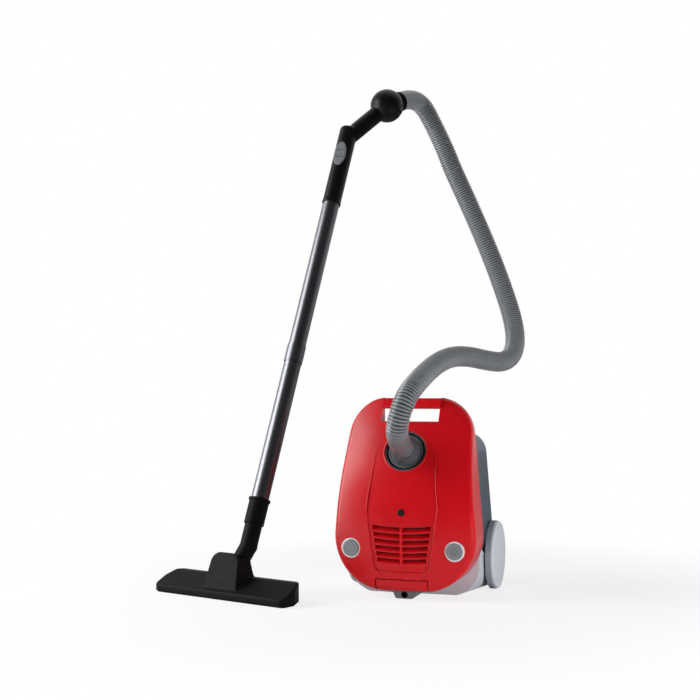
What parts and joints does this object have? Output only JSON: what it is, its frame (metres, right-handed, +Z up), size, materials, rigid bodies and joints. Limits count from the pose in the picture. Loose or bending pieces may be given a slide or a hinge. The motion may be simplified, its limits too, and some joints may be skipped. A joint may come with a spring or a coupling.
{
  "type": "canister vacuum cleaner",
  "caption": "Compact canister vacuum cleaner parked on end: hinged red lid with hose inlet and grille, wheels, ribbed hose, handle, steel wand and pivoting floor head.",
  "frame": {"origin": "on the floor under the canister, at the middle of the rear bumper's standing face", "axes": "+Z up, the canister's red lid faces -Y, +X to the lid's right in the picture"},
  "size_m": [0.5939, 0.5733, 0.9591],
  "materials": {
    "red_gloss": "smooth glossy moulding",
    "slate": "fine satin texture",
    "light_grey": "satin",
    "mid_grey": "satin",
    "black_gloss": "glossy moulding",
    "black_matte": "fine satin texture",
    "hose_grey": "ribbed hose",
    "steel_tube": "polished chromed tube",
    "steel": "turned steel",
    "silver": "silver plated plastic",
    "rubber": "soft rubber",
    "tyre": "smooth tread",
    "foam": "open foam",
    "paper": "filter paper",
    "copper": null,
    "lens": "dark clear lens"
  },
  "bodies": {
    "canister": {"lower_housing": "slate", "rear_bumper": "light_grey", "cord_guide": "mid_grey", "cord_outlet": "black_matte", "wheel_axles": "steel", "hinge_pin": "steel", "housing_screws": "steel", "lid_gasket": "rubber", "bag_holder": "mid_grey", "bag_collar": "paper", "dust_bag": "paper", "motor_filter": "foam", "power_switch": "black_matte", "motor_housing": "black_matte", "motor_mount": "rubber", "motor_stator": "copper", "motor_bearings": "steel", "reel_axle": "mid_grey", "suction_hose": "hose_grey", "hose_handle": "black_gloss", "upper_tube": "steel_tube", "lower_tube": "steel_tube", "wand_collar": "black_matte"},
    "lid": {"top_cover": "red_gloss", "carry_handle": "red_gloss", "exhaust_grille": "red_gloss", "exhaust_filter": "foam", "bag_lens": "lens", "button_bezels": "silver", "inlet_socket": "black_matte", "inlet_seal": "rubber", "latch_pin": "steel"},
    "latch": {"latch_tab": "red_gloss"},
    "power_key": {"power_button": "light_grey"},
    "rewind_key": {"rewind_button": "mid_grey"},
    "inlet_swivel": {"hose_swivel": "light_grey"},
    "left_wheel": {"left_wheel_rim": "slate", "left_wheel_tyre": "tyre", "left_wheel_cap": "light_grey"},
    "right_wheel": {"right_wheel_rim": "slate", "right_wheel_tyre": "tyre", "right_wheel_cap": "light_grey"},
    "caster": {"caster_fork": "mid_grey", "caster_axle": "steel"},
    "caster_roller": {"caster_wheel": "mid_grey"},
    "rotor": {"motor_armature": "steel", "fan_impeller": "silver"},
    "reel": {"cord_reel": "mid_grey"},
    "slider": {"suction_slider": "mid_grey"},
    "hose_cuff": {"handle_cuff": "black_matte"},
    "neck": {"neck_elbow": "black_matte"},
    "floor_head": {"head_shell": "black_gloss", "pivot_pin": "steel", "sole_plate": "black_matte", "brush_strips": "black_matte", "head_screws": "steel"}
  },
  "joints": [
    {"name": "lid_hinge", "type": "hinge", "parent": "canister", "child": "lid", "pos_m": [0, -0.028, 0.2922], "axis": [-1, 0, 0], "range_deg": [0, 55], "deforming": ["suction_hose"]},
    {"name": "latch_press", "type": "hinge", "parent": "lid", "child": "latch", "pos_m": [0, -0.109, 0.041], "axis": [1, 0, 0], "range_deg": [0, 8], "stiffness_Nm_per_rad": 0.8, "springref_deg": -5.73},
    {"name": "power_press", "type": "slide", "parent": "lid", "child": "power_key", "axis": [0, 1, 0], "range_m": [0, 0.004], "stiffness_N_per_m": 500, "springref_m": -0.002},
    {"name": "rewind_press", "type": "slide", "parent": "lid", "child": "rewind_key", "axis": [0, 1, 0], "range_m": [0, 0.004], "stiffness_N_per_m": 500, "springref_m": -0.002},
    {"name": "inlet_turn", "type": "hinge", "parent": "lid", "child": "inlet_swivel", "pos_m": [0, -0.091, 0.254], "axis": [0, -0.9272, 0.3746], "continuous": true},
    {"name": "left_wheel_roll", "type": "hinge", "parent": "canister", "child": "left_wheel", "pos_m": [-0.128, 0.058, 0.0615], "axis": [1, 0, 0], "continuous": true},
    {"name": "right_wheel_roll", "type": "hinge", "parent": "canister", "child": "right_wheel", "pos_m": [0.128, 0.058, 0.0615], "axis": [1, 0, 0], "continuous": true},
    {"name": "caster_turn", "type": "hinge", "parent": "canister", "child": "caster", "pos_m": [0, 0.082, 0.228], "axis": [0, 1, 0], "continuous": true},
    {"name": "caster_roll", "type": "hinge", "parent": "caster", "child": "caster_roller", "pos_m": [0, 0.108, 0.22], "axis": [1, 0, 0], "continuous": true},
    {"name": "fan_spin", "type": "hinge", "parent": "canister", "child": "rotor", "pos_m": [0.03, 0.01, 0.08], "axis": [0, 0, 1], "continuous": true},
    {"name": "reel_spin", "type": "hinge", "parent": "canister", "child": "reel", "pos_m": [-0.04, 0.075, 0.088], "axis": [0, 1, 0], "continuous": true},
    {"name": "suction_slide", "type": "slide", "parent": "canister", "child": "slider", "axis": [0.1146, 0.3401, 0.9334], "range_m": [-0.007, 0.007]},
    {"name": "cuff_turn", "type": "hinge", "parent": "canister", "child": "hose_cuff", "pos_m": [-0.11004, 0.18307, 0.91717], "axis": [0.449, 0.8182, 0.3592], "continuous": true},
    {"name": "neck_turn", "type": "hinge", "parent": "canister", "child": "neck", "pos_m": [-0.26763, -0.15137, 0.0859], "axis": [0.1146, 0.3401, 0.9334], "range_deg": [-30, 30]},
    {"name": "head_tilt", "type": "hinge", "parent": "neck", "child": "floor_head", "pos_m": [-0.291, -0.163, 0.04], "axis": [0.9426, -0.3338, 0], "range_deg": [-10, 25]}
  ]
}
